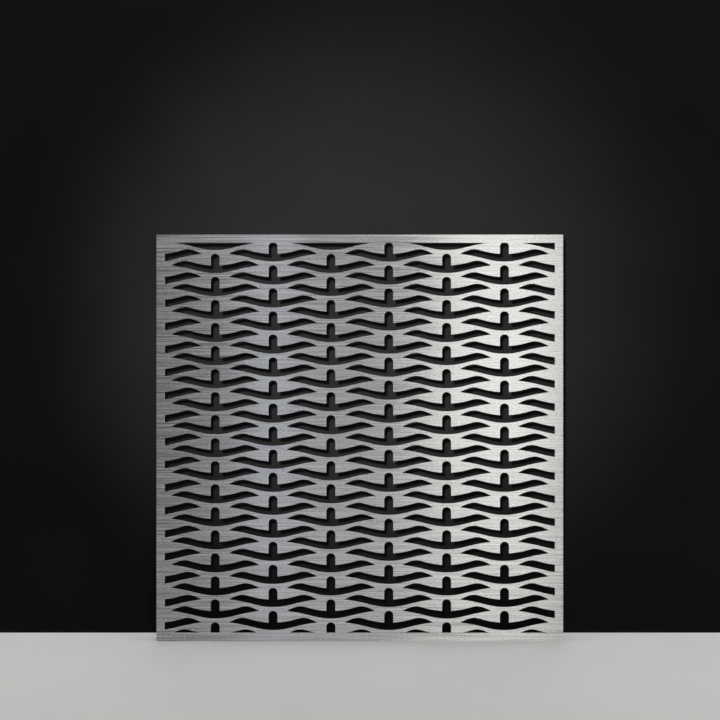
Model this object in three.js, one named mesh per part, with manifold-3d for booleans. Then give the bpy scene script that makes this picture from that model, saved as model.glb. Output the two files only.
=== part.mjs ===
// Laser cut metal screen: a square sheet of brushed stainless steel, cut through with a basket weave
// pattern. Four folded angles behind its plain border stiffen it. They are clamped to studs on the
// back of the sheet, and a flat bar bolted under the lowest angle carries it on the floor.
//
// Millimetres, +Z up. The face looks along -Y, X runs to the right across it, and the screen stands
// on Z = 0 with the middle of its footprint at the origin.
import * as THREE from 'three';
import { mergeGeometries, mergeVertices } from 'three/addons/utils/BufferGeometryUtils.js';
import Module from 'manifold-3d';

// ---- Sheet
const SHEET_WIDTH = 1500;
const SHEET_HEIGHT = 1500;
const SHEET_THICKNESS = 3;
const BORDER = 30; // plain metal left all round the pattern

// ---- Basket weave: columns of equal cuts, each column half a row lower than the next
const COLUMN_STEP = 213.5;
const ROW_STEP = 85;
const FIRST_ROW_DROP = 28; // from the top of the sheet to the first slot of a high column

// ---- One cut: an upright slot with a wing at each side. Heights are drops below the slot's top.
const SLOT_WIDTH = 33;
const SLOT_CORNER = 15.5;
const WING_ROOT_DROP = 43; // where the wing's upper edge leaves the slot
const WING_ROOT_RISE = 0.08; // the slope of that edge at the slot
const CREST_REACH = 111; // from the slot's axis to the highest point of the wing
const CREST_DROP = 25.4;
const TIP_REACH = 164.6;
const TIP_DROP = 42.9;
const TIP_UPPER_SLOPE = 0.5;
const TIP_LOWER_SLOPE = 0.12;
const BELLY_DROP = 71.2; // lowest point, under the slot
// How far the ends of each curve pull it, as shares of the stretch that it spans
const ROOT_PULL = 0.6;
const CREST_INNER_PULL = 0.18;
const CREST_OUTER_PULL = 0.33;
const TIP_UPPER_PULL = 0.39;
const TIP_LOWER_PULL = 0.53;
const BELLY_PULL = 0.35;

// ---- Rear frame of folded angles
const ANGLE_THICKNESS = 3;
const FLANGE_SETBACK = 2; // the flange against the sheet stays this far behind the pattern's border
const ANGLE_DEPTH = 50; // stands out behind it
const ANGLE_BEND = 4; // outside radius of the fold
const MITRE_GAP = 0.3;
const FIXING_HOLE = 9;
const FIXING_END = 150; // from the sheet's corner to the first fixing hole
const FIXINGS_PER_SIDE = 3;

// ---- Studs and their nuts
const STUD_DIAMETER = 6;
const STUD_PROUD = 3; // past the nut
const STUD_BASE_DIAMETER = 7.5;
const STUD_BASE_THICKNESS = 1;
const STUD_CHAMFER = 0.8;
const STUD_END = 120; // from the sheet's corner to the first stud
const STUDS_PER_SIDE = 4;
const STUD_HOLE_CLEARANCE = 0.5; // round the stud's base
const THREAD_CLEARANCE = 0.3;
const NUT_FLATS = 10;
const NUT_HEIGHT = 6;
const NUT_FLANGE_DIAMETER = 14.2;
const NUT_FLANGE_THICKNESS = 1.2;

// ---- Floor plate and its screws
const PLATE_PROUD = 30; // the strip behind the angle, with the anchor holes along its middle
const PLATE_THICKNESS = 8;
const PLATE_SCREWS = 5;
const PLATE_SCREW_END = 90;
const ANCHOR_HOLE = 11;
const SCREW_DIAMETER = 8;
const SCREW_HEAD_DIAMETER = 16;
const SCREW_END_PROUD = 2; // past the nut
const SCREW_SUNK = 0.6; // the head lies this far above the floor
const SCREW_SOCKET_FLATS = 5;
const SCREW_SOCKET_DEPTH = 2.5;
const SCREW_CLEARANCE = 0.5;
const PLATE_NUT_FLATS = 13;
const PLATE_NUT_HEIGHT = 6.5;

// ---- Facets
const CORNER_STEPS = 2;
const RISE_STEPS = 3;
const FALL_STEPS = 2;
const LOWER_STEPS = 3;
const BEND_STEPS = 2;
const HOLE_SIDES = 12;
const FASTENER_SIDES = 8;

// ---- Worked out from the sizes above
const FRAME_INSET = PLATE_THICKNESS; // the frame stays this far inside the sheet's edges
const ANGLE_FLANGE = BORDER - FRAME_INSET - FLANGE_SETBACK; // lies against the back of the sheet
const STUD_RISE = (ANGLE_THICKNESS + ANGLE_FLANGE) / 2; // the middle of the flange, clear of the leg
const STUD_LENGTH = ANGLE_THICKNESS + NUT_HEIGHT + STUD_PROUD;
const PLATE_DEPTH = ANGLE_DEPTH + PLATE_PROUD;
const FRONT_Y = -(SHEET_THICKNESS + PLATE_DEPTH) / 2;
const BACK_OF_SHEET_Y = FRONT_Y + SHEET_THICKNESS;
const CUT_OVERRUN = 1; // how far a cutter runs past the faces that it cuts
const QUARTER_TURN = Math.PI / 2;

const wasm = await Module();
wasm.setup();

const brushedSteel = new THREE.MeshStandardMaterial({ color: 0xb4b5b4, roughness: 0.32, metalness: 1 });
const blackCoat = new THREE.MeshStandardMaterial({ color: 0x1b1c1d, roughness: 0.55, metalness: 0.1 });
const zincPlate = new THREE.MeshStandardMaterial({ color: 0xa9adb0, roughness: 0.4, metalness: 1 });

const screen = new THREE.Group();

function place(name, geometry, material, x, y, z, parent = screen) {
  const mesh = new THREE.Mesh(geometry, material);
  mesh.name = name;
  mesh.position.set(x, y, z);
  parent.add(mesh);
  return mesh;
}

function toSolid(geometry) {
  const bare = geometry.clone();
  bare.deleteAttribute('normal');
  bare.deleteAttribute('uv');
  const merged = mergeVertices(bare, 1e-4);
  return new wasm.Manifold(new wasm.Mesh({
    numProp: 3,
    vertProperties: new Float32Array(merged.attributes.position.array),
    triVerts: new Uint32Array(merged.index.array),
  }));
}

function toGeometry(solid) {
  const mesh = solid.getMesh();
  const geometry = new THREE.BufferGeometry();
  geometry.setAttribute('position', new THREE.BufferAttribute(mesh.vertProperties, 3));
  geometry.setIndex(new THREE.BufferAttribute(mesh.triVerts, 1));
  geometry.computeVertexNormals();
  return geometry;
}

function cut(geometry, cutters) {
  return toGeometry(toSolid(geometry).subtract(toSolid(mergeGeometries(cutters))));
}

// Places from one end of a side to the other, equally spaced, measured from the side's middle.
function spread(count, length, end) {
  const places = [];
  for (let i = 0; i < count; i += 1) {
    places.push((i / (count - 1) - 0.5) * (length - 2 * end));
  }
  return places;
}

// ---- Face sheet

function curve(from, pullFrom, pullTo, to, steps) {
  const points = [from, pullFrom, pullTo, to].map(([x, drop]) => new THREE.Vector2(x, -drop));
  return new THREE.CubicBezierCurve(...points).getPoints(steps);
}

// The right half of a cut's outline, from the top of the slot round to its lowest point.
function halfOutline() {
  const half = SLOT_WIDTH / 2;
  const points = [];
  for (let i = 0; i <= CORNER_STEPS; i += 1) {
    const turn = (i / CORNER_STEPS) * QUARTER_TURN;
    const x = half - SLOT_CORNER * (1 - Math.sin(turn));
    points.push(new THREE.Vector2(x, -SLOT_CORNER * (1 - Math.cos(turn))));
  }
  const wing = CREST_REACH - half;
  const rise = curve(
    [half, WING_ROOT_DROP],
    [half + ROOT_PULL * wing, WING_ROOT_DROP - WING_ROOT_RISE * ROOT_PULL * wing],
    [CREST_REACH - CREST_INNER_PULL * wing, CREST_DROP],
    [CREST_REACH, CREST_DROP],
    RISE_STEPS,
  );
  const tail = TIP_REACH - CREST_REACH;
  const fall = curve(
    [CREST_REACH, CREST_DROP],
    [CREST_REACH + CREST_OUTER_PULL * tail, CREST_DROP],
    [TIP_REACH - TIP_UPPER_PULL * tail, TIP_DROP - TIP_UPPER_SLOPE * TIP_UPPER_PULL * tail],
    [TIP_REACH, TIP_DROP],
    FALL_STEPS,
  );
  const lower = curve(
    [TIP_REACH, TIP_DROP],
    [TIP_REACH - TIP_LOWER_PULL * TIP_REACH, TIP_DROP + TIP_LOWER_SLOPE * TIP_LOWER_PULL * TIP_REACH],
    [BELLY_PULL * TIP_REACH, BELLY_DROP],
    [0, BELLY_DROP],
    LOWER_STEPS,
  );
  points.push(...rise, ...fall.slice(1), ...lower.slice(1));
  return points;
}

function cutterGeometry() {
  const right = halfOutline();
  const left = right.slice(0, -1).reverse().map((p) => new THREE.Vector2(-p.x, p.y));
  const outline = new THREE.Shape([...right, ...left]);
  const depth = SHEET_THICKNESS + 2 * CUT_OVERRUN;
  const geometry = new THREE.ExtrudeGeometry(outline, { depth, bevelEnabled: false });
  geometry.translate(0, 0, -depth / 2);
  geometry.rotateX(QUARTER_TURN);
  return geometry;
}

// Every column that reaches into the field, seen from the middle of the sheet, has its cuts from
// the border at the top down to the border at the bottom. Every other column is half a row lower.
function weaveCutters() {
  const cutter = cutterGeometry();
  const fieldHalfWidth = SHEET_WIDTH / 2 - BORDER;
  const fieldTop = SHEET_HEIGHT / 2 - BORDER;
  const reach = Math.ceil((fieldHalfWidth + TIP_REACH) / COLUMN_STEP);
  const cutters = [];
  for (let column = -reach; column < reach; column += 1) {
    const x = (column + 0.5) * COLUMN_STEP;
    const isLow = column % 2 !== 0;
    let top = SHEET_HEIGHT / 2 - FIRST_ROW_DROP - (isLow ? ROW_STEP / 2 : 0);
    while (top - BELLY_DROP < fieldTop) {
      top += ROW_STEP;
    }
    for (; top > -fieldTop; top -= ROW_STEP) {
      cutters.push(cutter.clone().translate(x, 0, top));
    }
  }
  return cutters;
}

function faceSheetGeometry() {
  const sheet = new THREE.BoxGeometry(SHEET_WIDTH, SHEET_THICKNESS, SHEET_HEIGHT);
  const field = new THREE.BoxGeometry(
    SHEET_WIDTH - 2 * BORDER,
    SHEET_THICKNESS + 4 * CUT_OVERRUN,
    SHEET_HEIGHT - 2 * BORDER,
  );
  const cuts = toSolid(mergeGeometries(weaveCutters())).intersect(toSolid(field));
  return toGeometry(toSolid(sheet).subtract(cuts));
}

place('face_sheet', faceSheetGeometry(), brushedSteel, 0, FRONT_Y + SHEET_THICKNESS / 2, SHEET_HEIGHT / 2);

// ---- Rear frame

// A round hole's cutter, centred on the origin. It stands along Y, square to the sheet.
function holeCutter(diameter, length, sides = HOLE_SIDES) {
  return new THREE.CylinderGeometry(diameter / 2, diameter / 2, length + 2 * CUT_OVERRUN, sides);
}

// The folded angle's section: X stands out behind the sheet and Y runs along the back of the sheet.
function angleSection() {
  const section = new THREE.Shape();
  section.moveTo(0, ANGLE_FLANGE);
  section.lineTo(0, ANGLE_BEND);
  section.absarc(ANGLE_BEND, ANGLE_BEND, ANGLE_BEND, Math.PI, 1.5 * Math.PI, false);
  section.lineTo(ANGLE_DEPTH, 0);
  section.lineTo(ANGLE_DEPTH, ANGLE_THICKNESS);
  section.lineTo(ANGLE_THICKNESS, ANGLE_THICKNESS);
  section.lineTo(ANGLE_THICKNESS, ANGLE_FLANGE);
  return section;
}

// One side of the frame, drawn as the lowest one: its leg lies flat at Z = 0, its flange stands up
// from it at Y = 0, and both ends are mitred. Holes are given by their places along X.
function sideGeometry(length, studPlaces, legPlaces, legHole) {
  const bar = new THREE.ExtrudeGeometry(angleSection(), {
    depth: length,
    bevelEnabled: false,
    curveSegments: BEND_STEPS,
  });
  bar.translate(0, 0, -length / 2);
  const corners = bar.attributes.position;
  for (let i = 0; i < corners.count; i += 1) {
    const depth = corners.getX(i);
    const rise = corners.getY(i);
    const end = Math.sign(corners.getZ(i));
    corners.setXYZ(i, end * (length / 2 - rise - MITRE_GAP), depth, rise);
  }
  const studHole = STUD_BASE_DIAMETER + 2 * STUD_HOLE_CLEARANCE;
  const studCutters = studPlaces.map((x) => (
    holeCutter(studHole, ANGLE_THICKNESS)
      .translate(x, ANGLE_THICKNESS / 2, STUD_RISE)
  ));
  const legCutters = legPlaces.map((x) => (
    holeCutter(legHole, ANGLE_THICKNESS)
      .rotateX(QUARTER_TURN)
      .translate(x, ANGLE_DEPTH / 2, ANGLE_THICKNESS / 2)
  ));
  return cut(bar, [...studCutters, ...legCutters]);
}

function studGeometry() {
  const radius = STUD_DIAMETER / 2;
  const base = STUD_BASE_DIAMETER / 2;
  const profile = [
    [0, 0],
    [base, 0],
    [base, STUD_BASE_THICKNESS],
    [radius, STUD_BASE_THICKNESS],
    [radius, STUD_LENGTH - STUD_CHAMFER],
    [radius - STUD_CHAMFER, STUD_LENGTH],
    [0, STUD_LENGTH],
  ];
  return new THREE.LatheGeometry(profile.map(([r, y]) => new THREE.Vector2(r, y)), FASTENER_SIDES);
}

// A hexagon with the given distance across its flats, standing along Y from zero.
function hexGeometry(flats, height) {
  const radius = flats / 2 / Math.cos(Math.PI / 6);
  return new THREE.CylinderGeometry(radius, radius, height, 6).translate(0, height / 2, 0);
}

function flangeNutGeometry() {
  const flange = new THREE.CylinderGeometry(
    NUT_FLANGE_DIAMETER / 2,
    NUT_FLANGE_DIAMETER / 2,
    NUT_FLANGE_THICKNESS,
    FASTENER_SIDES,
  );
  flange.translate(0, NUT_FLANGE_THICKNESS / 2, 0);
  const bore = holeCutter(STUD_DIAMETER + 2 * THREAD_CLEARANCE, NUT_HEIGHT, FASTENER_SIDES);
  bore.translate(0, NUT_HEIGHT / 2, 0);
  const body = toSolid(hexGeometry(NUT_FLATS, NUT_HEIGHT)).add(toSolid(flange));
  return toGeometry(body.subtract(toSolid(bore)));
}

// Each side of the frame is a turned group that holds its angle, its studs and their nuts.
function addSide(name, group, length, legPlaces, legHole) {
  const studPlaces = spread(STUDS_PER_SIDE, length + 2 * FRAME_INSET, STUD_END);
  const angle = sideGeometry(length, studPlaces, legPlaces, legHole);
  place(`${name}_angle`, angle, blackCoat, 0, 0, 0, group);
  studPlaces.forEach((x, i) => {
    const nutGeometry = flangeNutGeometry();
    place(`${name}_stud_${i + 1}`, studGeometry(), zincPlate, x, 0, STUD_RISE, group);
    place(`${name}_flange_nut_${i + 1}`, nutGeometry, zincPlate, x, ANGLE_THICKNESS, STUD_RISE, group);
  });
  screen.add(group);
}

function sideGroup(x, z, turn) {
  const group = new THREE.Group();
  group.position.set(x, BACK_OF_SHEET_Y, z);
  group.rotation.y = turn;
  return group;
}

const frameWidth = SHEET_WIDTH - 2 * FRAME_INSET;
const frameHeight = SHEET_HEIGHT - 2 * FRAME_INSET;
const frameTop = SHEET_HEIGHT - FRAME_INSET;
const middle = SHEET_HEIGHT / 2;
const acrossFixings = spread(FIXINGS_PER_SIDE, SHEET_WIDTH, FIXING_END);
const uprightFixings = spread(FIXINGS_PER_SIDE, SHEET_HEIGHT, FIXING_END);
const plateScrewPlaces = spread(PLATE_SCREWS, SHEET_WIDTH, PLATE_SCREW_END);
const screwHole = SCREW_DIAMETER + 2 * SCREW_CLEARANCE;

addSide('bottom', sideGroup(0, FRAME_INSET, 0), frameWidth, plateScrewPlaces, screwHole);
addSide('top', sideGroup(0, frameTop, 2 * QUARTER_TURN), frameWidth, acrossFixings, FIXING_HOLE);
addSide('left', sideGroup(-frameWidth / 2, middle, QUARTER_TURN), frameHeight, uprightFixings, FIXING_HOLE);
addSide('right', sideGroup(frameWidth / 2, middle, -QUARTER_TURN), frameHeight, uprightFixings, FIXING_HOLE);

// ---- Floor plate

const screwY = BACK_OF_SHEET_Y + ANGLE_DEPTH / 2;

// A countersunk screw or its hole, turned about Y with its head at the bottom.
function sunkProfile(shankRadius, headRadius, sunk, length) {
  const neck = sunk + headRadius - shankRadius;
  return [
    [0, sunk],
    [headRadius, sunk],
    [shankRadius, neck],
    [shankRadius, length],
    [0, length],
  ].map(([r, y]) => new THREE.Vector2(r, y));
}

function floorPlateGeometry() {
  const plate = new THREE.BoxGeometry(frameWidth, PLATE_DEPTH, PLATE_THICKNESS);
  const sunkHole = sunkProfile(
    screwHole / 2,
    SCREW_HEAD_DIAMETER / 2 + SCREW_CLEARANCE + SCREW_SUNK + CUT_OVERRUN,
    -CUT_OVERRUN,
    PLATE_THICKNESS + CUT_OVERRUN,
  );
  const screwCutters = plateScrewPlaces.map((x) => (
    new THREE.LatheGeometry(sunkHole, HOLE_SIDES)
      .rotateX(QUARTER_TURN)
      .translate(x, ANGLE_DEPTH / 2 - PLATE_DEPTH / 2, -PLATE_THICKNESS / 2)
  ));
  const anchorCutters = [];
  for (let i = 1; i < plateScrewPlaces.length; i += 1) {
    const x = (plateScrewPlaces[i - 1] + plateScrewPlaces[i]) / 2;
    const anchor = holeCutter(ANCHOR_HOLE, PLATE_THICKNESS).rotateX(QUARTER_TURN);
    anchorCutters.push(anchor.translate(x, (PLATE_DEPTH - PLATE_PROUD) / 2, 0));
  }
  return cut(plate, [...screwCutters, ...anchorCutters]);
}

function plateScrewGeometry() {
  const length = PLATE_THICKNESS + ANGLE_THICKNESS + PLATE_NUT_HEIGHT + SCREW_END_PROUD;
  const profile = sunkProfile(SCREW_DIAMETER / 2, SCREW_HEAD_DIAMETER / 2, SCREW_SUNK, length);
  const body = new THREE.LatheGeometry(profile, FASTENER_SIDES);
  const socket = hexGeometry(SCREW_SOCKET_FLATS, SCREW_SOCKET_DEPTH + CUT_OVERRUN);
  socket.translate(0, SCREW_SUNK - CUT_OVERRUN, 0);
  return cut(body, [socket]).rotateX(QUARTER_TURN);
}

function plateNutGeometry() {
  const bore = holeCutter(SCREW_DIAMETER + 2 * THREAD_CLEARANCE, PLATE_NUT_HEIGHT, FASTENER_SIDES);
  bore.translate(0, PLATE_NUT_HEIGHT / 2, 0);
  return cut(hexGeometry(PLATE_NUT_FLATS, PLATE_NUT_HEIGHT), [bore]).rotateX(QUARTER_TURN);
}

const plateY = BACK_OF_SHEET_Y + PLATE_DEPTH / 2;
place('floor_plate', floorPlateGeometry(), blackCoat, 0, plateY, PLATE_THICKNESS / 2);
plateScrewPlaces.forEach((x, i) => {
  place(`plate_screw_${i + 1}`, plateScrewGeometry(), zincPlate, x, screwY, 0);
  place(`plate_nut_${i + 1}`, plateNutGeometry(), zincPlate, x, screwY, FRAME_INSET + ANGLE_THICKNESS);
});

export default screen;
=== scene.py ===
# Laser cut metal screen: one brushed sheet with a basket weave cut through it, clamped to a black
# frame of folded angles that hides behind its plain border, on a flat bar along the floor.
import math

import bmesh
import bpy
from mathutils import Matrix, Vector, noise
from mathutils.geometry import delaunay_2d_cdt


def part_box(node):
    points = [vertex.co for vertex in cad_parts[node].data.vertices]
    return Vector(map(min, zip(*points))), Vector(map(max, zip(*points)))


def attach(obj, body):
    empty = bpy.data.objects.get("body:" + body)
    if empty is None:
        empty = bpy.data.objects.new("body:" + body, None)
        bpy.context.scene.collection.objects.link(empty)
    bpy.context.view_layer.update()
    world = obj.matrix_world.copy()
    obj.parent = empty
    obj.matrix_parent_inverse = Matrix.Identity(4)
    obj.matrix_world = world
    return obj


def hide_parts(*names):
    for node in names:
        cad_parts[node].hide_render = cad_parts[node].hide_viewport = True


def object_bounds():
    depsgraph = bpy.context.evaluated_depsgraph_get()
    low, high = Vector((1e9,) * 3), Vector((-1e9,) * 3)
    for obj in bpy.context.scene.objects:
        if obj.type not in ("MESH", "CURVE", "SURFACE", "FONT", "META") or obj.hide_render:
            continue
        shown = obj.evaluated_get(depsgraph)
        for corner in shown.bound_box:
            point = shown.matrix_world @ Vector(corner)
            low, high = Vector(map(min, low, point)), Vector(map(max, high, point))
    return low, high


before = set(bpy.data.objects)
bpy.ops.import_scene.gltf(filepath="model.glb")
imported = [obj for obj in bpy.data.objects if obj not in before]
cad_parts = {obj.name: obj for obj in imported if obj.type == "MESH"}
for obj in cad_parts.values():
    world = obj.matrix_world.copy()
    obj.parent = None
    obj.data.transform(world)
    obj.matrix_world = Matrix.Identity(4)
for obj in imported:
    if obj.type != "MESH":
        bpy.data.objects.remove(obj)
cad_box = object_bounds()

# ---- Studio: a pale floor, and a plain dark backdrop close behind the screen. The camera is level
# and stands about as high as the middle of the screen, and its lens is shifted up to frame it.

IMAGE_SIDE = 720
LENS = 35
SENSOR = 36
FOCAL_PIXELS = LENS / SENSOR * IMAGE_SIDE
SCREEN_WIDTH_PIXELS = 406.67
SCREEN_MIDDLE_PIXEL = 359.8
SCREEN_BOTTOM_PIXEL = 641.3
HORIZON_PIXEL = 444

screen_low, screen_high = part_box("face_sheet")
screen_width = screen_high.x - screen_low.x
screen_height = screen_high.z - screen_low.z
middle_height = (screen_low.z + screen_high.z) / 2
camera_distance = screen_width * FOCAL_PIXELS / SCREEN_WIDTH_PIXELS
metres_per_pixel = camera_distance / FOCAL_PIXELS
camera_x = (IMAGE_SIDE / 2 - SCREEN_MIDDLE_PIXEL) * metres_per_pixel
camera_y = screen_low.y - camera_distance
camera_height = (SCREEN_BOTTOM_PIXEL - HORIZON_PIXEL) * metres_per_pixel

camera = bpy.data.objects.new("camera", bpy.data.cameras.new("camera"))
camera.data.lens = LENS
camera.data.sensor_width = SENSOR
camera.data.shift_y = (HORIZON_PIXEL - IMAGE_SIDE / 2) / IMAGE_SIDE
camera.location = (camera_x, camera_y, camera_height)
camera.rotation_euler = (math.pi / 2, 0, 0)
bpy.context.scene.collection.objects.link(camera)
bpy.context.scene.camera = camera
bpy.context.scene.view_settings.view_transform = "Standard"


NOISE_MIDDLE = 0.5


class Value:
    """The output of a node. Sums of outputs and numbers add Math nodes to the same finish."""

    def __init__(self, finish, socket):
        self.finish = finish
        self.socket = socket

    def math(self, operation, first, second):
        return self.finish.add("ShaderNodeMath", {"operation": operation}, {0: first, 1: second})

    def __add__(self, other):
        return self.math("ADD", self, other)

    def __radd__(self, other):
        return self.math("ADD", other, self)

    def __sub__(self, other):
        return self.math("SUBTRACT", self, other)

    def __rsub__(self, other):
        return self.math("SUBTRACT", other, self)

    def __mul__(self, other):
        return self.math("MULTIPLY", self, other)

    def __rmul__(self, other):
        return self.math("MULTIPLY", other, self)

    def __truediv__(self, other):
        return self.math("DIVIDE", self, other)

    def at_least(self, lowest):
        return self.math("MAXIMUM", self, lowest)

    def swing(self, size):
        """Noise from 0 to 1 turned into noise around zero, of that size from end to end."""
        return size * (self - NOISE_MIDDLE)


class Finish:
    """A material with one Principled shader, and the nodes that feed it."""

    def __init__(self, name, **constants):
        self.material = bpy.data.materials.new(name)
        self.material.use_nodes = True
        self.tree = self.material.node_tree
        self.shader = self.tree.nodes["Principled BSDF"]
        for socket, value in constants.items():
            title = socket.replace("_", " ").title().replace("Ior", "IOR")
            self.shader.inputs[title].default_value = value

    def add(self, kind, settings, sockets, output=0):
        node = self.tree.nodes.new(kind)
        for name, value in settings.items():
            setattr(node, name, value)
        for name, value in sockets.items():
            if isinstance(value, Value):
                self.tree.links.new(value.socket, node.inputs[name])
            else:
                node.inputs[name].default_value = value
        return Value(self, node.outputs[output])

    def place(self):
        return self.add("ShaderNodeTexCoord", {}, {}, "Object")

    def stretched(self, lengths, detail=2.0):
        """Noise from 0 to 1, whose grains are about as long as the three lengths, in metres."""
        scale = [1 / length for length in lengths]
        sockets = {0: self.place(), 1: scale}
        vector = self.add("ShaderNodeVectorMath", {"operation": "MULTIPLY"}, sockets)
        sockets = {"Vector": vector, "Scale": 1.0, "Detail": detail, "Roughness": 0.5}
        return self.add("ShaderNodeTexNoise", {}, sockets, "Fac")

    def between(self, factor, first, second):
        """A colour between two others, linear in the factor."""
        sockets = {0: factor, 6: first, 7: second}
        return self.add("ShaderNodeMix", {"data_type": "RGBA"}, sockets, 2)

    def feed(self, socket, value):
        self.tree.links.new(value.socket, self.shader.inputs[socket])

    def emboss(self, height, distance):
        sockets = {"Strength": 1.0, "Distance": distance, "Height": height}
        self.feed("Normal", self.add("ShaderNodeBump", {}, sockets))


def make_mesh(name, points, faces):
    mesh = bpy.data.meshes.new(name)
    mesh.from_pydata(points, [], faces)
    mesh.update()
    piece = bpy.data.objects.new(name, mesh)
    bpy.context.scene.collection.objects.link(piece)
    return piece


FLOOR_PALE = (0.56, 0.555, 0.545, 1)
FLOOR_SHADE = (0.50, 0.495, 0.49, 1)
FLOOR_CLOUD = 0.5
FLOOR_ROUGHNESS = 0.7
BACKDROP_DARK = (0.0075, 0.0075, 0.0078, 1)
BACKDROP_SHADE = (0.0055, 0.0055, 0.0057, 1)
BACKDROP_CLOUD = 0.3
BACKDROP_GAP = 0.035
REACH = 14.0

floor_finish = Finish("floor_paint", roughness=FLOOR_ROUGHNESS)
floor_cloud = floor_finish.stretched([FLOOR_CLOUD] * 3, detail=4.0)
floor_finish.feed("Base Color", floor_finish.between(floor_cloud, FLOOR_SHADE, FLOOR_PALE))

cloth = Finish("backdrop_cloth", roughness=1.0, specular_ior_level=0.0)
cloth_cloud = cloth.stretched([BACKDROP_CLOUD] * 3, detail=3.0)
cloth.feed("Base Color", cloth.between(cloth_cloud, BACKDROP_SHADE, BACKDROP_DARK))
# It shows only from the screen's side, so that the screen can be seen from behind through it.
behind = cloth.add("ShaderNodeNewGeometry", {}, {}, "Backfacing")
clear = cloth.add("ShaderNodeBsdfTransparent", {}, {})
solid = Value(cloth, cloth.shader.outputs["BSDF"])
one_sided = cloth.add("ShaderNodeMixShader", {}, {0: behind, 1: solid, 2: clear})
cloth.tree.links.new(one_sided.socket, cloth.tree.nodes["Material Output"].inputs["Surface"])

floor_corners = [(-REACH, -REACH, 0), (REACH, -REACH, 0), (REACH, REACH, 0), (-REACH, REACH, 0)]
floor = make_mesh("floor", floor_corners, [(0, 1, 2, 3)])
floor.data.materials.append(floor_finish.material)
backdrop_y = cad_box[1][1] + BACKDROP_GAP
backdrop_corners = [(-REACH, backdrop_y, 0), (REACH, backdrop_y, 0),
                    (REACH, backdrop_y, REACH), (-REACH, backdrop_y, REACH)]
backdrop = make_mesh("backdrop", backdrop_corners, [(0, 1, 2, 3)])
backdrop.data.materials.append(cloth.material)
# No light is held back by it, so the back of the screen is lit as its front is.
backdrop.visible_shadow = False
backdrop.visible_diffuse = False
backdrop.visible_glossy = False

COOL = (0.89, 0.95, 1.14)
WARM = (1.02, 1.0, 0.965)


def softbox(name, place, target, width, height, radiance, tint=(1, 1, 1), lean=0):
    """A soft lamp of that size. Radiance 1 is as bright as a white sheet in full light."""
    lamp = bpy.data.lights.new(name, "AREA")
    lamp.shape = "RECTANGLE"
    lamp.size = width
    lamp.size_y = height
    lamp.energy = radiance * math.pi * width * height
    lamp.color = tint
    box = bpy.data.objects.new(name, lamp)
    box.location = place
    aim = (Vector(target) - Vector(place)).to_track_quat("-Z", "Y").to_matrix()
    box.rotation_euler = (Matrix.Rotation(math.radians(lean), 3, "Y") @ aim).to_euler()
    box.visible_camera = False
    bpy.context.scene.collection.objects.link(box)


# The brushed face mirrors what stands behind the camera, so each tall lamp there lights an upright
# band of the screen: a broad one on its right, whose top leans outwards, and a faint narrow one
# left of its middle. A low lamp between them lifts the lower half of the middle a little.
softbox("tall_lamp_right", place=(1.41, -4.2, 1.65), target=(1.2, 0, 1.6),
        width=1.45, height=3.0, radiance=2.4, tint=WARM, lean=12)
softbox("low_lamp_middle", place=(0.05, -4.25, 0.42), target=(0, 0, 0.9),
        width=1.1, height=0.74, radiance=1.55)
softbox("tall_lamp_left", place=(-0.85, -4.2, 1.1), target=(-0.7, 0, 1.6),
        width=0.4, height=2.0, radiance=1.5, tint=COOL)
softbox("side_lamp_left", place=(-3.8, -0.8, 2.6), target=(0, 0, 0.5),
        width=3.0, height=3.0, radiance=2.4)
softbox("side_lamp_right", place=(3.8, -0.8, 2.6), target=(0, 0, 0.5),
        width=3.0, height=3.0, radiance=2.4)
softbox("overhead_lamp", place=(0, -0.6, 3.8), target=(0, 0, 0.3),
        width=3.0, height=2.2, radiance=2.0)
softbox("rear_lamp", place=(0, 4.4, 2.7), target=(0, 0, 0.8),
        width=8.5, height=3.2, radiance=1.3)

# A small lamp beside the camera lights the backdrop alone. The shadow of the screen falls there, a
# little lower and to the right, and darkens the upper left of each opening.
GLOW_TO_THE_LEFT = 0.24
GLOW_ABOVE_CAMERA = 0.34
GLOW_RADIUS = 0.08
GLOW_BEAM = 54  # degrees
GLOW_AIM_HEIGHT = 1.25
GLOW_WATTS = 1100

glow = bpy.data.lights.new("backdrop_lamp", "SPOT")
glow.energy = GLOW_WATTS
glow.shadow_soft_size = GLOW_RADIUS
glow.spot_size = math.radians(GLOW_BEAM)
glow.spot_blend = 1.0
glow_lamp = bpy.data.objects.new("backdrop_lamp", glow)
glow_lamp.location = (-GLOW_TO_THE_LEFT, camera_y, camera_height + GLOW_ABOVE_CAMERA)
glow_aim = Vector((0, backdrop_y, GLOW_AIM_HEIGHT)) - glow_lamp.location
glow_lamp.rotation_euler = glow_aim.to_track_quat("-Z", "Y").to_euler()
bpy.context.scene.collection.objects.link(glow_lamp)
backdrop_only = bpy.data.collections.new("backdrop_only")
backdrop_only.objects.link(backdrop)
glow_lamp.light_linking.receiver_collection = backdrop_only

ROOM_GREY = (0.200, 0.201, 0.203, 1)

room = bpy.data.worlds.new("room_light")
room.use_nodes = True
room.node_tree.nodes["Background"].inputs["Color"].default_value = ROOM_GREY
room.node_tree.nodes["Background"].inputs["Strength"].default_value = 1.0
bpy.context.scene.world = room

# ---- Face sheet: 3 mm stainless steel, brushed along its width and cut by laser. Each cut is an
# upright slot with a wing at each side, and every other column of cuts starts half a row lower.

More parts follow.
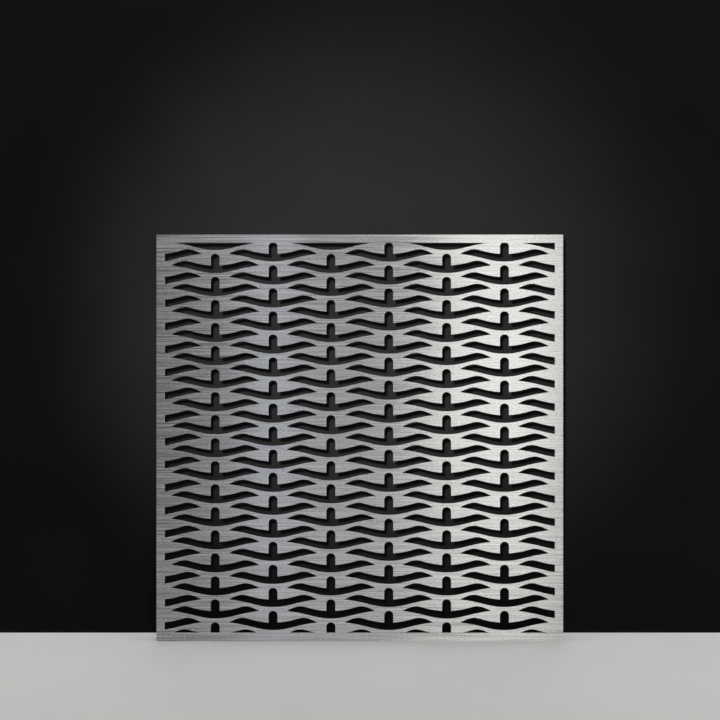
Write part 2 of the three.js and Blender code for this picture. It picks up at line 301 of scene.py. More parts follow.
BORDER = 0.030
COLUMN_STEP = 0.2135
ROW_STEP = 0.085
FIRST_ROW_DROP = 0.028
SLOT_WIDTH = 0.033
SLOT_CORNER = 0.0155
WING_ROOT_DROP = 0.043
WING_ROOT_RISE = 0.08
CREST_REACH = 0.111
CREST_DROP = 0.0254
TIP_REACH = 0.1646
TIP_DROP = 0.0429
TIP_UPPER_SLOPE = 0.5
TIP_LOWER_SLOPE = 0.12
BELLY_DROP = 0.0712
ROOT_PULL = 0.6
CREST_INNER_PULL = 0.18
CREST_OUTER_PULL = 0.33
TIP_UPPER_PULL = 0.39
TIP_LOWER_PULL = 0.53
BELLY_PULL = 0.35
BEAM_CORNER = 0.0005  # the smallest radius that the beam turns
SHEET_CORNER = 0.001
EDGE_BREAK = 0.00025  # the edges are rubbed down this far
LONGEST_MITRE = 4.0
CORNER_STEPS = 6
CURVE_STEPS = 10
BEAM_CORNER_STEPS = 3
SHEET_CORNER_STEPS = 4
FILL_TOLERANCE = 1e-7
SHEET_CREASE = 30  # degrees, as for the other creases
BRUSHED, LASER_CUT, MILLED = range(3)


def bezier(start, pull_start, pull_end, end):
    points = []
    for i in range(CURVE_STEPS + 1):
        t = i / CURVE_STEPS
        s = 1 - t
        weights = (s ** 3, 3 * s * s * t, 3 * s * t * t, t ** 3)
        ends = (start, pull_start, pull_end, end)
        points.append(Vector((sum(w * p[0] for w, p in zip(weights, ends)),
                              -sum(w * p[1] for w, p in zip(weights, ends)))))
    return points


def arc(centre, radius, start, end, steps):
    turns = [start + (end - start) * i / steps for i in range(steps + 1)]
    return [Vector((centre[0] + radius * math.cos(t), centre[1] + radius * math.sin(t)))
            for t in turns]


def rounded(before, corner, after):
    """The points of an arc in place of a sharp corner, as wide as the beam turns."""
    into = (before - corner).normalized()
    out = (after - corner).normalized()
    half = into.angle(out) / 2
    centre = corner + (into + out).normalized() * (BEAM_CORNER / math.sin(half))
    tangent = BEAM_CORNER / math.tan(half)
    first = corner + into * tangent - centre
    sweep = first.angle_signed(corner + out * tangent - centre)
    return [centre + Matrix.Rotation(-sweep * i / BEAM_CORNER_STEPS, 2) @ first
            for i in range(BEAM_CORNER_STEPS + 1)]


def cut_outline():
    """One whole cut, clockwise from the top of its slot, with the top on the height zero."""
    half = SLOT_WIDTH / 2
    wing = CREST_REACH - half
    tail = TIP_REACH - CREST_REACH
    root_pull = ROOT_PULL * wing
    upper_pull = TIP_UPPER_PULL * tail
    lower_pull = TIP_LOWER_PULL * TIP_REACH
    crest = (CREST_REACH, CREST_DROP)
    tip = (TIP_REACH, TIP_DROP)
    right = arc((half - SLOT_CORNER, -SLOT_CORNER), SLOT_CORNER, math.pi / 2, 0, CORNER_STEPS)
    rise = bezier((half, WING_ROOT_DROP),
                  (half + root_pull, WING_ROOT_DROP - WING_ROOT_RISE * root_pull),
                  (CREST_REACH - CREST_INNER_PULL * wing, CREST_DROP), crest)
    fall = bezier(crest, (CREST_REACH + CREST_OUTER_PULL * tail, CREST_DROP),
                  (TIP_REACH - upper_pull, TIP_DROP - TIP_UPPER_SLOPE * upper_pull), tip)
    lower = bezier(tip, (TIP_REACH - lower_pull, TIP_DROP + TIP_LOWER_SLOPE * lower_pull),
                   (BELLY_PULL * TIP_REACH, BELLY_DROP), (0, BELLY_DROP))
    right += rounded(right[-1], rise[0], rise[1])
    right += rise[1:-1] + fall[:-1]
    right += rounded(fall[-2], fall[-1], lower[1])
    right += lower[1:]
    left = [Vector((-p.x, p.y)) for p in reversed(right[:-1])]
    return right + left


def trimmed(outline, axis, limit, side):
    """The pieces of an outline inside a straight limit. Each run of it inside is one piece."""
    inside = [(p[axis] - limit) * side > 0 for p in outline]
    if all(inside):
        return [outline]
    pieces = []
    count = len(outline)
    entries = [i for i in range(count) if inside[i] and not inside[i - 1]]
    for step in range(count if entries else 0):
        i = (entries[0] + step) % count
        here, last = outline[i], outline[i - 1]
        crossing = last.lerp(here, (limit - last[axis]) / ((here[axis] - last[axis]) or 1))
        if inside[i] and not inside[i - 1]:
            pieces.append([crossing])
        if inside[i - 1] and not inside[i]:
            pieces[-1].append(crossing)
        if inside[i]:
            pieces[-1].append(here)
    return pieces


def weave_cuts(low, high):
    """Every cut of the sheet, trimmed square where it meets the border."""
    whole = cut_outline()
    left, right = low.x + BORDER, high.x - BORDER
    foot, top = low.z + BORDER, high.z - BORDER
    columns = math.ceil((right + TIP_REACH) / COLUMN_STEP)
    cuts = []
    for column in range(-columns, columns):
        x = (column + 0.5) * COLUMN_STEP
        slot_top = high.z - FIRST_ROW_DROP - (ROW_STEP / 2 if column % 2 else 0) + ROW_STEP
        while slot_top > foot:
            pieces = [[p + Vector((x, slot_top)) for p in whole]]
            for axis, limit, side in ((0, left, 1), (0, right, -1), (1, foot, 1), (1, top, -1)):
                pieces = [part for piece in pieces for part in trimmed(piece, axis, limit, side)]
            cuts += pieces
            slot_top -= ROW_STEP
    return cuts


def moved_into_metal(outline, distance):
    """The outline moved sideways. Metal lies on its left, and sharp corners keep a mitre."""
    moved = []
    for i, here in enumerate(outline):
        into = (here - outline[i - 1]).normalized()
        out = (outline[(i + 1) % len(outline)] - here).normalized()
        first, second = Vector((-into.y, into.x)), Vector((-out.y, out.x))
        mitre = (first + second) / max((first + second).dot(first), 1 / LONGEST_MITRE)
        moved.append(here + mitre * distance)
    return moved


def sheet_outlines(low, high):
    """The sheet's own outline, anticlockwise, and those of its cuts, clockwise."""
    corners = []
    for x, z, turn in ((high.x, low.z, -0.5), (high.x, high.z, 0),
                       (low.x, high.z, 0.5), (low.x, low.z, 1)):
        inner_x = x - math.copysign(SHEET_CORNER, x)
        inner_z = z + SHEET_CORNER if z == low.z else z - SHEET_CORNER
        start = turn * math.pi
        corners += arc((inner_x, inner_z), SHEET_CORNER, start, start + math.pi / 2,
                       SHEET_CORNER_STEPS)
    return [corners] + weave_cuts(low, high)


def filled(points, loops):
    """The triangles of the sheet's face between the first loop and the others, which are cuts."""
    rim = [i for loop in loops for i in loop]
    starts = [0]
    for loop in loops:
        starts.append(starts[-1] + len(loop))
    bounds = [list(range(a, b)) for a, b in zip(starts, starts[1:])]
    bounds[1:] = [bound[::-1] for bound in bounds[1:]]
    rim_points = [Vector((points[i][0], points[i][2])) for i in rim]
    found = delaunay_2d_cdt(rim_points, [], bounds, 1, FILL_TOLERANCE)
    triangles, sources, inside = found[2], found[3], found[5]
    return [[rim[sources[i][0]] for i in triangle]
            for triangle, within in zip(triangles, inside) if within == [0]]


def sheet_mesh(name, low, high):
    """The sheet: a broken edge, a cut wall and a broken edge along each outline, and two faces."""
    rings = [(low.y, EDGE_BREAK), (low.y + EDGE_BREAK, 0),
             (high.y - EDGE_BREAK, 0), (high.y, EDGE_BREAK)]
    points, faces, looks, loops = [], [], [], []
    for outline in sheet_outlines(low, high):
        first = len(points)
        count = len(outline)
        for depth, inset in rings:
            points += [(p.x, depth, p.y) for p in moved_into_metal(outline, inset)]
        for ring, look in enumerate((BRUSHED, LASER_CUT, MILLED)):
            near, far = first + ring * count, first + (ring + 1) * count
            for i in range(count):
                j = (i + 1) % count
                faces.append((near + i, far + i, far + j, near + j))
                looks.append(look)
        loops.append(range(first, first + count))
    walls = len(faces)
    front = filled(points, loops)
    to_back = {i: i + (len(rings) - 1) * len(loop) for loop in loops for i in loop}
    back = [[to_back[i] for i in reversed(face)] for face in front]
    faces += front + back
    looks += [BRUSHED] * len(front) + [MILLED] * len(back)
    piece = make_mesh(name, points, faces)
    piece.data.polygons.foreach_set("material_index", looks)
    piece.data.polygons.foreach_set("use_smooth", [i < walls for i in range(len(faces))])
    sharpen(piece, SHEET_CREASE)
    return piece


def sharpen(piece, degrees):
    """Edges that turn by more than the angle stay crisp."""
    mesh = bmesh.new()
    mesh.from_mesh(piece.data)
    for edge in mesh.edges:
        edge.smooth = edge.calc_face_angle(math.pi) < math.radians(degrees)
    mesh.to_mesh(piece.data)
    mesh.free()


# Lines and patches are given by the lengths of their grains along, through and up the sheet.
BRUSHED_DARK = (0.39, 0.392, 0.395, 1)
BRUSHED_PALE = (0.77, 0.768, 0.76, 1)
BROAD_LINE = (0.6, 1, 0.0044)
BRUSH_LINE = (0.22, 1, 0.0030)
SHORT_LINE = (0.010, 1, 0.0026)
HAIR_LINE = (0.08, 1, 0.0007)
FINE_LINE = (0.035, 1, 0.00022)
HANDLED_PATCH = (0.35, 1, 0.22)
SCRATCH_TONE = 1.5
SHORT_TONE = 1.0
HAIR_TONE = 0.7
FINE_TONE = 0.8
BRUSH_RELIEF = 0.6
HAIR_RELIEF = 0.4
FINE_RELIEF = 0.15
BRUSH_DEPTH = 0.00012
BRUSHED_ROUGHNESS = 0.34
SCRATCH_DULLS = 0.2
HANDLING_DULLS = 0.06
# The first of these scales the grain everywhere. The others add painted sheen to the streaks
# towards the left edge.
STREAK_CONTRAST = 1.25
LEFT_PAINTED_SHEEN = 0.95
PAINTED_SHEEN_END = -0.46  # measured from the middle of the sheet
PAINTED_SHEEN_FADE = 0.22

brushed = Finish("brushed_stainless", metallic=1.0, anisotropic=1.0, anisotropic_rotation=0.25)
broad_lines = brushed.stretched(BROAD_LINE, detail=1.0)
brush_lines = brushed.stretched(BRUSH_LINE, detail=1.0)
short_lines = brushed.stretched(SHORT_LINE, detail=1.0)
hair_lines = brushed.stretched(HAIR_LINE, detail=1.0)
fine_lines = brushed.stretched(FINE_LINE, detail=1.0)
handling = brushed.stretched(HANDLED_PATCH, detail=3.0)
scratches = broad_lines.swing(SCRATCH_TONE) + brush_lines.swing(SCRATCH_TONE)
# The streaks are painted with more contrast towards the left edge. This is painted sheen: it stands
# in for streaks catching more light where the reflection is darker.
across_sheet = brushed.add("ShaderNodeSeparateXYZ", {}, {0: brushed.place()}, 0)
streak_and_sheen_contrast = STREAK_CONTRAST + LEFT_PAINTED_SHEEN * ((PAINTED_SHEEN_END - across_sheet) / PAINTED_SHEEN_FADE).at_least(0)
fine_grain = hair_lines.swing(HAIR_TONE) + fine_lines.swing(FINE_TONE)
grain = NOISE_MIDDLE + streak_and_sheen_contrast * (scratches + short_lines.swing(SHORT_TONE)) + fine_grain
dulling = BRUSHED_ROUGHNESS + SCRATCH_DULLS * scratches + handling.swing(HANDLING_DULLS)
relief = brush_lines * BRUSH_RELIEF + hair_lines * HAIR_RELIEF + fine_lines * FINE_RELIEF
brushed.feed("Base Color", brushed.between(grain, BRUSHED_DARK, BRUSHED_PALE))
brushed.feed("Roughness", dulling)
brushed.emboss(relief, BRUSH_DEPTH)

CUT_DARK = (0.13, 0.128, 0.124, 1)
CUT_PALE = (0.36, 0.356, 0.35, 1)
DRAG_LINE = (0.0004, 0.02, 0.0004)
DRAG_DEPTH = 0.00006
CUT_ROUGHNESS = 0.34
DRAG_DULLS = 0.2

laser_cut = Finish("laser_cut_edge", metallic=1.0)
drag_lines = laser_cut.stretched(DRAG_LINE, detail=1.0)
laser_cut.feed("Base Color", laser_cut.between(drag_lines, CUT_DARK, CUT_PALE))
laser_cut.feed("Roughness", CUT_ROUGHNESS + DRAG_DULLS * drag_lines)
laser_cut.emboss(drag_lines, DRAG_DEPTH)

MILLED_DARK = (0.40, 0.402, 0.405, 1)
MILLED_PALE = (0.60, 0.60, 0.595, 1)
ROLL_LINE = (0.004, 1, 0.5)
MILL_CLOUD = (0.12, 1, 0.12)
ROLL_SHARE = 0.4
CLOUD_SHARE = 0.6
MILL_GRAIN = 0.0012
MILL_DEPTH = 0.00003
MILLED_ROUGHNESS = 0.36
CLOUD_DULLS = 0.12

milled = Finish("milled_back", metallic=1.0)
roll_lines = milled.stretched(ROLL_LINE)
clouding = milled.stretched(MILL_CLOUD, detail=4.0)
mill_tone = CLOUD_SHARE * clouding + ROLL_SHARE * roll_lines
milled.feed("Base Color", milled.between(mill_tone, MILLED_DARK, MILLED_PALE))
milled.feed("Roughness", MILLED_ROUGHNESS + CLOUD_DULLS * clouding)
milled.emboss(milled.stretched([MILL_GRAIN] * 3), MILL_DEPTH)

sheet = sheet_mesh("brushed_sheet", screen_low, screen_high)
for finish in (brushed, laser_cut, milled):
    sheet.data.materials.append(finish.material)
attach(sheet, "root")
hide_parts("face_sheet")

# ---- Rear frame: four angles folded from 3 mm steel, mitred and welded at the corners and powder
# coated black. A flange lies against the back of the sheet, behind its border, and a leg stands
# out from it.

ANGLE_THICKNESS = 0.003
FOLD_OUTSIDE = 0.004
FOLD_INSIDE = 0.001
FOLD_OUTSIDE_STEPS = 8
FOLD_INSIDE_STEPS = 5
STUD_HOLE = 0.0085
FIXING_HOLE = 0.009
SCREW_HOLE = 0.009
STUDS_ON_A_SIDE = 4
FIXINGS_ON_A_SIDE = 3
FLOOR_SCREWS = 5
STUD_END = 0.120
FIXING_END = 0.150
SCREW_END = 0.090
PAST_FACE = 0.001  # a cutter starts this far before a face
PAST_STEEL = 0.005  # and reaches this far through an angle
HOLE_STEPS = 40
COAT_SOFTNESS = 0.0006  # the coat rounds the edges off to this radius
COAT_SOFTENS = 40  # edges that turn by more degrees than this
COAT_CREASE = 28
WORN_SLOT = 1
COAT_BLACK = (0.012, 0.0122, 0.0126, 1)
COAT_GREY = (0.026, 0.0262, 0.0268, 1)
COAT_HAZE = 0.15
COAT_PEBBLE = 0.0011
PEBBLE_DEPTH = 0.00012
COAT_ROUGHNESS = 0.42
PEBBLE_DULLS = 0.14
HAZE_DULLS = 0.1
WORN_DARK = (0.018, 0.0182, 0.0186, 1)
WORN_PALE = (0.075, 0.075, 0.077, 1)
WORN_PATCH = 0.03
WORN_ROUGHNESS = 0.30
WEAR_DULLS = 0.2


def spread(count, length, end):
    """Equal steps from one end of a side to the other, measured from its middle."""
    return [(i / (count - 1) - 0.5) * (length - 2 * end) for i in range(count)]


def extruded(name, section, length):
    """A bar along X with the given section in Y and Z, whose ends are mitred at the height Z."""
    count = len(section)
    points = [(end * (length / 2 - z), y, z) for end in (-1, 1) for y, z in section]
    faces = [(i, (i + 1) % count, count + (i + 1) % count, count + i) for i in range(count)]
    faces += [tuple(reversed(range(count))), tuple(range(count, 2 * count))]
    return make_mesh(name, points, faces)


def rod(radius, start, end, top_radius=None, sides=HOLE_STEPS):
    """A cutter for a hole from one place to another, as points and faces."""
    axis = Vector(end) - Vector(start)
    side = axis.orthogonal().normalized()
    points = []
    for place, reach in ((start, radius), (end, radius if top_radius is None else top_radius)):
        for i in range(sides):
            turn = Matrix.Rotation(2 * math.pi * i / sides, 3, axis)
            points.append(Vector(place) + turn @ side * reach)
    faces = [(i, (i + 1) % sides, sides + (i + 1) % sides, sides + i) for i in range(sides)]
    faces += [tuple(reversed(range(sides))), tuple(range(sides, 2 * sides))]
    return points, faces


def drill(piece, holes, softness=0.0):
    """Cuts the holes out of the piece, then rounds its edges off to the softness."""
    points, faces = [], []
    for hole_points, hole_faces in holes:
        faces += [tuple(i + len(points) for i in face) for face in hole_faces]
        points += hole_points
    cutter = make_mesh("cutter", points, faces)
    cut = piece.modifiers.new("holes", "BOOLEAN")
    cut.object = cutter
    cut.solver = "EXACT"
    if softness:
        soft = piece.modifiers.new("coat", "BEVEL")
        soft.width = softness
        soft.segments = 2
        soft.limit_method = "ANGLE"
        soft.angle_limit = math.radians(COAT_SOFTENS)
        soft.material = WORN_SLOT
    keep_modified(piece)
    bpy.data.objects.remove(cutter)
    piece.data.polygons.foreach_set("use_smooth", [True] * len(piece.data.polygons))
    sharpen(piece, COAT_CREASE)


def keep_modified(piece):
    graph = bpy.context.evaluated_depsgraph_get()
    mesh = bpy.data.meshes.new_from_object(piece.evaluated_get(graph))
    piece.modifiers.clear()
    piece.data = mesh


def angle_section(depth, flange):
    """The section as (distance behind the sheet, height above the leg's outer face)."""
    outside = arc((FOLD_OUTSIDE, FOLD_OUTSIDE), FOLD_OUTSIDE, math.pi, 1.5 * math.pi,
                  FOLD_OUTSIDE_STEPS)
    inner = ANGLE_THICKNESS + FOLD_INSIDE
    inside = arc((inner, inner), FOLD_INSIDE, 1.5 * math.pi, math.pi, FOLD_INSIDE_STEPS)
    leg_end = [(depth, 0), (depth, ANGLE_THICKNESS)]
    return ([(0, flange)] + [tuple(p) for p in outside] + leg_end
            + [tuple(p) for p in inside] + [(ANGLE_THICKNESS, flange)])


coat = Finish("black_powder_coat")
pebble = coat.stretched([COAT_PEBBLE] * 3)
haze = coat.stretched([COAT_HAZE] * 3, detail=3.0)
coat.feed("Base Color", coat.between(haze, COAT_BLACK, COAT_GREY))
coat.feed("Roughness", COAT_ROUGHNESS + PEBBLE_DULLS * pebble + HAZE_DULLS * haze)
coat.emboss(pebble, PEBBLE_DEPTH)
worn_coat = Finish("worn_coat_edge")
wear = worn_coat.stretched([WORN_PATCH] * 3, detail=4.0)
worn_coat.feed("Base Color", worn_coat.between(wear, WORN_DARK, WORN_PALE))
worn_coat.feed("Roughness", WORN_ROUGHNESS + WEAR_DULLS * wear)


def dress(piece, node=None, finish=coat):
    """The piece gets its finish, rides with the screen and stands for its solid."""
    piece.data.materials.clear()
    piece.data.materials.append(finish.material)
    if finish is coat:
        piece.data.materials.append(worn_coat.material)
    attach(piece, "root")
    if node:
        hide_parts(node)


bar_low, bar_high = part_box("floor_plate")
frame_inset = bar_high.z - bar_low.z
frame_width = bar_high.x - bar_low.x
frame_height = screen_height - 2 * frame_inset
angle_low, angle_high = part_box("bottom_angle")
angle_depth = angle_high.y - angle_low.y
leg_middle = angle_depth / 2
flange_height = angle_high.z - angle_low.z
stud_rise = (ANGLE_THICKNESS + flange_height) / 2
screw_places = spread(FLOOR_SCREWS, screen_width, SCREW_END)
across_fixings = spread(FIXINGS_ON_A_SIDE, screen_width, FIXING_END)
upright_fixings = spread(FIXINGS_ON_A_SIDE, screen_height, FIXING_END)

# Each side of the frame is drawn as the lowest one and turned to its place.
sides = {
    "bottom": ((0, frame_inset), 0, frame_width, screw_places, SCREW_HOLE),
    "top": ((0, screen_high.z - frame_inset), 180, frame_width, across_fixings, FIXING_HOLE),
    "left": ((-frame_width / 2, middle_height), 90, frame_height, upright_fixings, FIXING_HOLE),
    "right": ((frame_width / 2, middle_height), -90, frame_height, upright_fixings, FIXING_HOLE),
}
stud_seats = {}
for name, ((x, z), turn, length, leg_places, leg_hole) in sides.items():
    side_place = (Matrix.Translation((x, angle_low.y, z))
                  @ Matrix.Rotation(math.radians(turn), 4, "Y"))
    stud_places = spread(STUDS_ON_A_SIDE, length + 2 * frame_inset, STUD_END)
    stud_seats[name] = [side_place @ Matrix.Translation((p, 0, stud_rise)) for p in stud_places]
    holes = [rod(STUD_HOLE / 2, (p, -PAST_FACE, stud_rise), (p, PAST_STEEL, stud_rise))
             for p in stud_places]
    holes += [rod(leg_hole / 2, (p, leg_middle, -PAST_FACE), (p, leg_middle, PAST_STEEL))
              for p in leg_places]
    angle = extruded(f"{name}_frame_angle", angle_section(angle_depth, flange_height), length)
    drill(angle, holes, COAT_SOFTNESS)
    angle.data.transform(side_place)
    dress(angle, f"{name}_angle")

# ---- Corner welds: a rippled fillet bead in the inside corner of each mitre, under the same coat.
# Each runs from the flange to just short of the leg's edge.

BEAD_LEG = 0.005
BEAD_PLAIN = 0.9
BEAD_RIPPLED = 0.12
BEAD_WANDER = 0.1
BEAD_HOLLOW = 0.86
BEAD_SWELL = 0.14
RIPPLE = 0.0016
WANDERS_PER_METRE = 150
BEAD_SHORT_OF_EDGE = 0.001
BEAD_STEPS = 72
BEAD_RIM = 7
BEAD_CREASE = 50


def face_outwards(piece):
    mesh = bmesh.new()
    mesh.from_mesh(piece.data)
    bmesh.ops.recalc_face_normals(mesh, faces=mesh.faces)
    mesh.to_mesh(piece.data)
    mesh.free()


def bead(name, corner, across, up, start, end):
    """A weld bead along Y that fills the corner towards the two directions."""
    points, faces = [], []
    for step in range(BEAD_STEPS + 1):
        y = start + (end - start) * step / BEAD_STEPS
        ripple = abs(math.sin(math.pi * y / RIPPLE))
        wander = noise.noise(Vector((y * WANDERS_PER_METRE, across * 9, up * 5)))
        size = BEAD_LEG * (BEAD_PLAIN + BEAD_RIPPLED * ripple + BEAD_WANDER * wander)
        points.append((corner[0], y, corner[1]))
        for i in range(BEAD_RIM):
            turn = i / (BEAD_RIM - 1) * math.pi / 2
            swell = size * (BEAD_HOLLOW + BEAD_SWELL * abs(math.cos(2 * turn)))
            points.append((corner[0] + across * swell * math.cos(turn), y,
                           corner[1] + up * swell * math.sin(turn)))
    ring = BEAD_RIM + 1
    for step in range(BEAD_STEPS):
        for i in range(ring):
            a, b = step * ring + i, step * ring + (i + 1) % ring
            faces.append((a, b, b + ring, a + ring))
    faces += [tuple(range(ring)), tuple(range(BEAD_STEPS * ring, (BEAD_STEPS + 1) * ring))]
    piece = make_mesh(name, points, faces)
    face_outwards(piece)
    piece.data.polygons.foreach_set("use_smooth", [True] * len(faces))
    sharpen(piece, BEAD_CREASE)
    return piece


leg_inside_x = frame_width / 2 - ANGLE_THICKNESS
low_leg_inside = frame_inset + ANGLE_THICKNESS
high_leg_inside = screen_high.z - low_leg_inside
for side_name, across in (("left", 1), ("right", -1)):
    for level_name, up, z in (("bottom", 1, low_leg_inside), ("top", -1, high_leg_inside)):
        weld = bead(f"{level_name}_{side_name}_weld", (-across * leg_inside_x, z), across, up,
                    angle_low.y + ANGLE_THICKNESS, angle_high.y - BEAD_SHORT_OF_EDGE)
        dress(weld)

# ---- Studs and flange nuts: M6 studs welded to the back of the sheet pass through the flange, and
# a zinc plated nut on each clamps it. Nothing shows on the face.

STUD_RADIUS = 0.003
STUD_BASE_RADIUS = 0.00375
STUD_BASE_THICKNESS = 0.001
STUD_BASE_STEP = 0.00001
STUD_PITCH = 0.001
STUD_THREAD_START = 0.008
STUD_CHAMFER = 0.0008
STUD_LENGTH = 0.012
STUD_STEPS = 40
THREAD_DEPTH = 0.6  # as a share of the pitch
NUT_HEIGHT = 0.006
NUT_FLATS = 0.010
NUT_BORE_RADIUS = 0.00305
NUT_FLANGE_RADIUS = 0.0071
NUT_FLANGE_EDGE = 0.0010
NUT_SKIRT_TOP = 0.0022
NUT_SKIRT_SLOPE = 1.9
NUT_CROWN = 0.0005
CROWN_REACH = 0.577  # from the middle to where the crown starts, as a share of the flats
CROWN_SLOPE = 1.7
SKIRT_STEPS = 6
CROWN_STEPS = 5
ROUND_STEPS = 48
ROUND_CREASE = 20
ZINC_DULL = (0.42, 0.44, 0.47, 1)
ZINC_PALE = (0.66, 0.67, 0.66, 1)
ZINC_BLOOM = 0.004
ZINC_GRAIN = 0.0006
ZINC_DEPTH = 0.00002
ZINC_ROUGHNESS = 0.26
BLOOM_DULLS = 0.2


def turned(name, radius_at, levels, inner=0.0):
    """A solid about Y. Its radius depends on the height and the turn, and it may have a bore."""
    points, faces = [], []
    count = ROUND_STEPS
    turns = [2 * math.pi * i / count for i in range(count)]
    for level in levels:
        for turn in turns:
            radius = radius_at(level, turn)
            points.append((radius * math.cos(turn), level, radius * math.sin(turn)))
    for k in range(len(levels) - 1):
        for i in range(count):
            j = (i + 1) % count
            faces.append((k * count + i, k * count + j, (k + 1) * count + j, (k + 1) * count + i))
    last = (len(levels) - 1) * count
    if inner:
        first = len(points)
        for level in (levels[0], levels[-1]):
            points += [(inner * math.cos(turn), level, inner * math.sin(turn)) for turn in turns]
        for i in range(count):
            j = (i + 1) % count
            faces.append((i, j, first + j, first + i))
            faces.append((last + i, last + j, first + count + j, first + count + i))
            faces.append((first + i, first + j, first + count + j, first + count + i))
    else:
        faces += [tuple(range(count)), tuple(range(last, last + count))]
    piece = make_mesh(name, points, faces)
    face_outwards(piece)
    piece.data.polygons.foreach_set("use_smooth", [True] * len(faces))
    sharpen(piece, ROUND_CREASE)
    return piece


def thread_depth(level, turn, pitch):
    phase = (level / pitch - turn / (2 * math.pi)) % 1
    return THREAD_DEPTH * pitch * abs(2 * phase - 1)


def hexagon(turn, flats):
    return flats / 2 / math.cos((turn + math.pi / 6) % (math.pi / 3) - math.pi / 6)


def stud_radius(level, turn):
    if level <= STUD_BASE_THICKNESS:
        return STUD_BASE_RADIUS
    chamfer = max(0, level - (STUD_LENGTH - STUD_CHAMFER))
    return min(STUD_RADIUS - thread_depth(level, turn, STUD_PITCH), STUD_RADIUS - chamfer)


def flange_nut_radius(level, turn):
    skirt = NUT_FLANGE_RADIUS - max(0, level - NUT_FLANGE_EDGE) * NUT_SKIRT_SLOPE
    crown = NUT_FLATS * CROWN_REACH - max(0, level - (NUT_HEIGHT - NUT_CROWN)) * CROWN_SLOPE
    return max(skirt, min(hexagon(turn, NUT_FLATS), crown))


def steps(start, end, count):
    return [start + (end - start) * i / count for i in range(count + 1)]


zinc = Finish("zinc_plate", metallic=1.0)
bloom = zinc.stretched([ZINC_BLOOM] * 3, detail=3.0)
zinc.feed("Base Color", zinc.between(bloom, ZINC_DULL, ZINC_PALE))
zinc.feed("Roughness", ZINC_ROUGHNESS + BLOOM_DULLS * bloom)
zinc.emboss(zinc.stretched([ZINC_GRAIN] * 3), ZINC_DEPTH)


def fasten(piece, place, node):
    piece.data.transform(place)
    dress(piece, node, zinc)


stud_levels = [0, STUD_BASE_THICKNESS, STUD_BASE_THICKNESS + STUD_BASE_STEP]
stud_levels += steps(STUD_THREAD_START, STUD_LENGTH, STUD_STEPS)
nut_levels = [0] + steps(NUT_FLANGE_EDGE, NUT_SKIRT_TOP, SKIRT_STEPS)
nut_levels += steps(NUT_HEIGHT - NUT_CROWN, NUT_HEIGHT, CROWN_STEPS)
for name, seats in stud_seats.items():
    for i, seat in enumerate(seats, 1):
        stud = turned(f"{name}_weld_stud_{i}", stud_radius, stud_levels)
        fasten(stud, seat, f"{name}_stud_{i}")
        nut = turned(f"{name}_hex_nut_{i}", flange_nut_radius, nut_levels, NUT_BORE_RADIUS)
        on_flange = seat @ Matrix.Translation((0, ANGLE_THICKNESS, 0))
        fasten(nut, on_flange, f"{name}_flange_nut_{i}")

# ---- Floor bar: a flat bar of 8 mm steel under the lowest angle, coated black. It carries the
# screen, and anchor bolts hold it down through the row of holes behind the angle.

SCREW_HEAD_RADIUS = 0.008
SINK_CLEARANCE = 0.0011
SINK_TIP_RADIUS = 0.001
SCREW_HOLE_START = 0.002
ANCHOR_HOLE = 0.011

screw_y = angle_low.y + leg_middle
anchor_y = (angle_high.y + bar_high.y) / 2
above_bar = frame_inset + PAST_FACE
block = [(x, y, z) for x in (bar_low.x, bar_high.x) for y in (bar_low.y, bar_high.y)
         for z in (bar_low.z, bar_high.z)]
block_faces = [(0, 1, 3, 2), (4, 6, 7, 5), (0, 4, 5, 1), (2, 3, 7, 6), (0, 2, 6, 4), (1, 5, 7, 3)]
floor_bar = make_mesh("floor_bar", block, block_faces)
face_outwards(floor_bar)
sink = SCREW_HEAD_RADIUS + SINK_CLEARANCE
holes = []
for x in screw_places:
    holes.append(rod(SCREW_HOLE / 2, (x, screw_y, SCREW_HOLE_START), (x, screw_y, above_bar)))
    holes.append(rod(sink + PAST_FACE, (x, screw_y, -PAST_FACE),
                     (x, screw_y, sink - SINK_TIP_RADIUS), SINK_TIP_RADIUS))
for left_x, right_x in zip(screw_places, screw_places[1:]):
    x = (left_x + right_x) / 2
    holes.append(rod(ANCHOR_HOLE / 2, (x, anchor_y, -PAST_FACE), (x, anchor_y, above_bar)))
drill(floor_bar, holes, COAT_SOFTNESS)
dress(floor_bar, "floor_plate")

# ---- Bar screws and nuts: M8 countersunk screws come up through the bar and the lowest angle, each
# with a zinc plated nut on top.

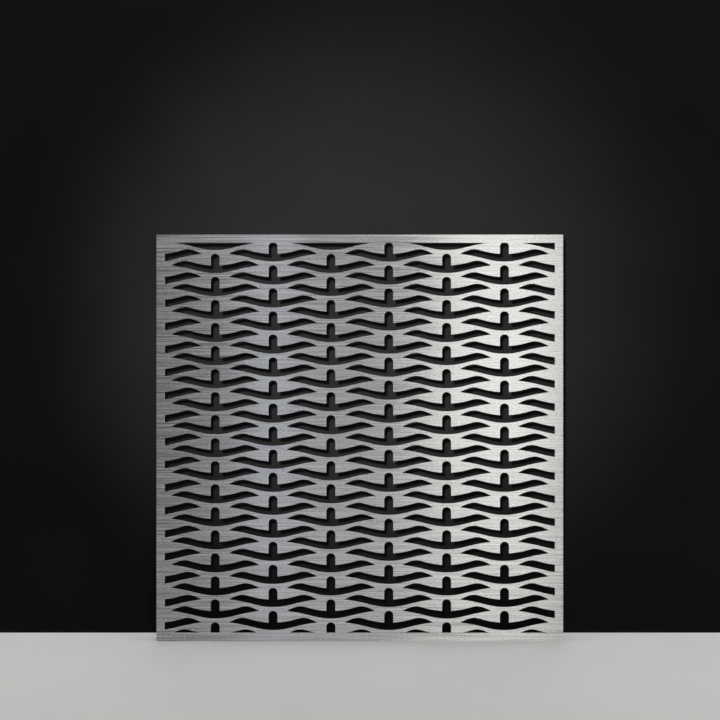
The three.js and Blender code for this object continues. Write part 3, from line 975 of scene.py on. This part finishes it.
SCREW_RADIUS = 0.004
HEAD_LIFT = 0.0006
HEAD_RIM = 0.0002
HEAD_HEIGHT = 0.004
SCREW_THREAD_START = 0.016
SCREW_CHAMFER = 0.001
SCREW_PAST_NUT = 0.002
SCREW_STEPS = 30
SOCKET_FLATS = 0.005
SOCKET_DEPTH = 0.0025
BAR_PITCH = 0.00125
BAR_NUT_FLATS = 0.013
BAR_NUT_HEIGHT = 0.0065
BAR_NUT_CHAMFER = 0.0006
BAR_NUT_BORE_RADIUS = 0.00405

screw_length = frame_inset + ANGLE_THICKNESS + BAR_NUT_HEIGHT + SCREW_PAST_NUT


def screw_radius(level, turn):
    head = SCREW_HEAD_RADIUS - max(0, level - HEAD_LIFT)
    chamfer = max(0, level - (screw_length - SCREW_CHAMFER))
    thread = thread_depth(level, turn, BAR_PITCH) if level > frame_inset else 0
    return max(head, min(SCREW_RADIUS - thread, SCREW_RADIUS - chamfer))


def bar_nut_radius(level, turn):
    rim = max(0, BAR_NUT_CHAMFER - level) + max(0, level - (BAR_NUT_HEIGHT - BAR_NUT_CHAMFER))
    return min(hexagon(turn, BAR_NUT_FLATS), BAR_NUT_FLATS * CROWN_REACH - CROWN_SLOPE * rim)


upright = Matrix.Rotation(math.pi / 2, 4, "X")
screw_levels = [HEAD_LIFT, HEAD_LIFT + HEAD_RIM, HEAD_LIFT + HEAD_HEIGHT, frame_inset]
screw_levels += steps(SCREW_THREAD_START, screw_length, SCREW_STEPS)
bar_nut_levels = steps(0, BAR_NUT_CHAMFER, CROWN_STEPS)
bar_nut_levels += steps(BAR_NUT_HEIGHT - BAR_NUT_CHAMFER, BAR_NUT_HEIGHT, CROWN_STEPS)
for i, x in enumerate(screw_places, 1):
    place = Matrix.Translation((x, screw_y, 0)) @ upright
    screw = turned(f"bar_screw_{i}", screw_radius, screw_levels)
    socket_end = (0, HEAD_LIFT + SOCKET_DEPTH, 0)
    drill(screw, [rod(SOCKET_FLATS / math.sqrt(3), (0, 0, 0), socket_end, sides=6)])
    fasten(screw, place, f"plate_screw_{i}")
    nut = turned(f"bar_nut_{i}", bar_nut_radius, bar_nut_levels, BAR_NUT_BORE_RADIUS)
    on_leg = place @ Matrix.Translation((0, frame_inset + ANGLE_THICKNESS, 0))
    fasten(nut, on_leg, f"plate_nut_{i}")
